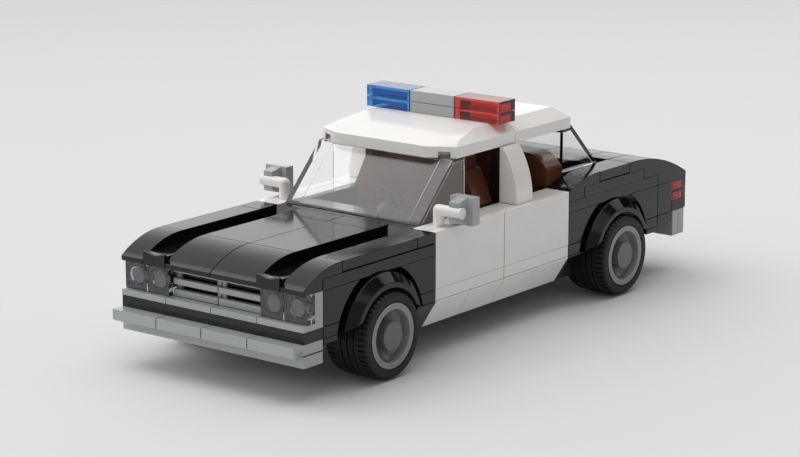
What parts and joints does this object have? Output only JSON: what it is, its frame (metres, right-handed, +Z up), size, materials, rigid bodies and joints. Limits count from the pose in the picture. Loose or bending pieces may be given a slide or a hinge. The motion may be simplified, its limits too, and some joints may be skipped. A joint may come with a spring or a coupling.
{
  "type": "toy police car of interlocking building bricks",
  "caption": "Brick-built toy four-door police patrol car with a hollow cabin, a roof light bar and free-turning wheels on pins.",
  "frame": {"origin": "on the ground, under the middle of the car's overall length and width", "axes": "+X to the car's left, -Y to its front, +Z up"},
  "size_m": [0.0742, 0.1878, 0.064],
  "materials": {
    "black_plastic": "moulded gloss",
    "white_plastic": "moulded gloss",
    "light_grey_plastic": "moulded gloss",
    "dark_grey_plastic": "moulded gloss",
    "rim_grey_plastic": "moulded gloss",
    "brown_plastic": "moulded gloss",
    "clear_plastic": "clear",
    "clear_red_plastic": "clear",
    "clear_blue_plastic": "clear",
    "tyre": "matt"
  },
  "bodies": {
    "body": {"floor_plates": "black_plastic", "inner_bricks": "black_plastic", "rocker_brackets": "black_plastic", "rockers_black": "black_plastic", "front_valance": "black_plastic", "hood_base": "black_plastic", "nose_curves": "black_plastic", "hood_tiles": "black_plastic", "fender_tiles": "black_plastic", "channel_ends": "black_plastic", "body_side_walls": "black_plastic", "body_side_sills": "black_plastic", "mudguards": "black_plastic", "cabin_walls": "black_plastic", "belt_plates": "black_plastic", "deck_plates": "black_plastic", "quarter_curves": "black_plastic", "rear_deck_tiles": "black_plastic", "tail_curves": "black_plastic", "tail_bricks": "black_plastic", "dashboard": "black_plastic", "wheel_holders": "black_plastic", "steering_wheel": "black_plastic", "rockers_white": "white_plastic", "front_doors": "white_plastic", "rear_doors": "white_plastic", "door_frames": "white_plastic", "door_sills": "white_plastic", "pillars": "white_plastic", "roof_front": "white_plastic", "roof_rear": "white_plastic", "mirror_arms": "white_plastic", "front_bumper_tiles": "light_grey_plastic", "front_bumper_plates": "light_grey_plastic", "lamp_brackets": "light_grey_plastic", "grille": "light_grey_plastic", "light_bar_grey": "light_grey_plastic", "rear_bumper": "light_grey_plastic", "mirror_clips": "light_grey_plastic", "headlamps": "clear_plastic", "windscreen": "clear_plastic", "rear_window": "clear_plastic", "light_bar_red": "clear_red_plastic", "tail_lamps": "clear_red_plastic", "light_bar_blue": "clear_blue_plastic", "front_seats": "brown_plastic", "rear_seat": "brown_plastic"},
    "wheel_front_left": {"tyre_front_left": "tyre", "rim_front_left": "rim_grey_plastic", "hub_cap_front_left": "dark_grey_plastic"},
    "wheel_front_right": {"tyre_front_right": "tyre", "rim_front_right": "rim_grey_plastic", "hub_cap_front_right": "dark_grey_plastic"},
    "wheel_rear_left": {"tyre_rear_left": "tyre", "rim_rear_left": "rim_grey_plastic", "hub_cap_rear_left": "dark_grey_plastic"},
    "wheel_rear_right": {"tyre_rear_right": "tyre", "rim_rear_right": "rim_grey_plastic", "hub_cap_rear_right": "dark_grey_plastic"}
  },
  "joints": [
    {"name": "wheel_front_left_spin", "type": "hinge", "parent": "body", "child": "wheel_front_left", "pos_m": [0.029, -0.058, 0.01215], "axis": [1, 0, 0], "continuous": true},
    {"name": "wheel_front_right_spin", "type": "hinge", "parent": "body", "child": "wheel_front_right", "pos_m": [-0.029, -0.058, 0.01215], "axis": [1, 0, 0], "continuous": true},
    {"name": "wheel_rear_left_spin", "type": "hinge", "parent": "body", "child": "wheel_rear_left", "pos_m": [0.029, 0.054, 0.01215], "axis": [1, 0, 0], "continuous": true},
    {"name": "wheel_rear_right_spin", "type": "hinge", "parent": "body", "child": "wheel_rear_right", "pos_m": [-0.029, 0.054, 0.01215], "axis": [1, 0, 0], "continuous": true}
  ]
}
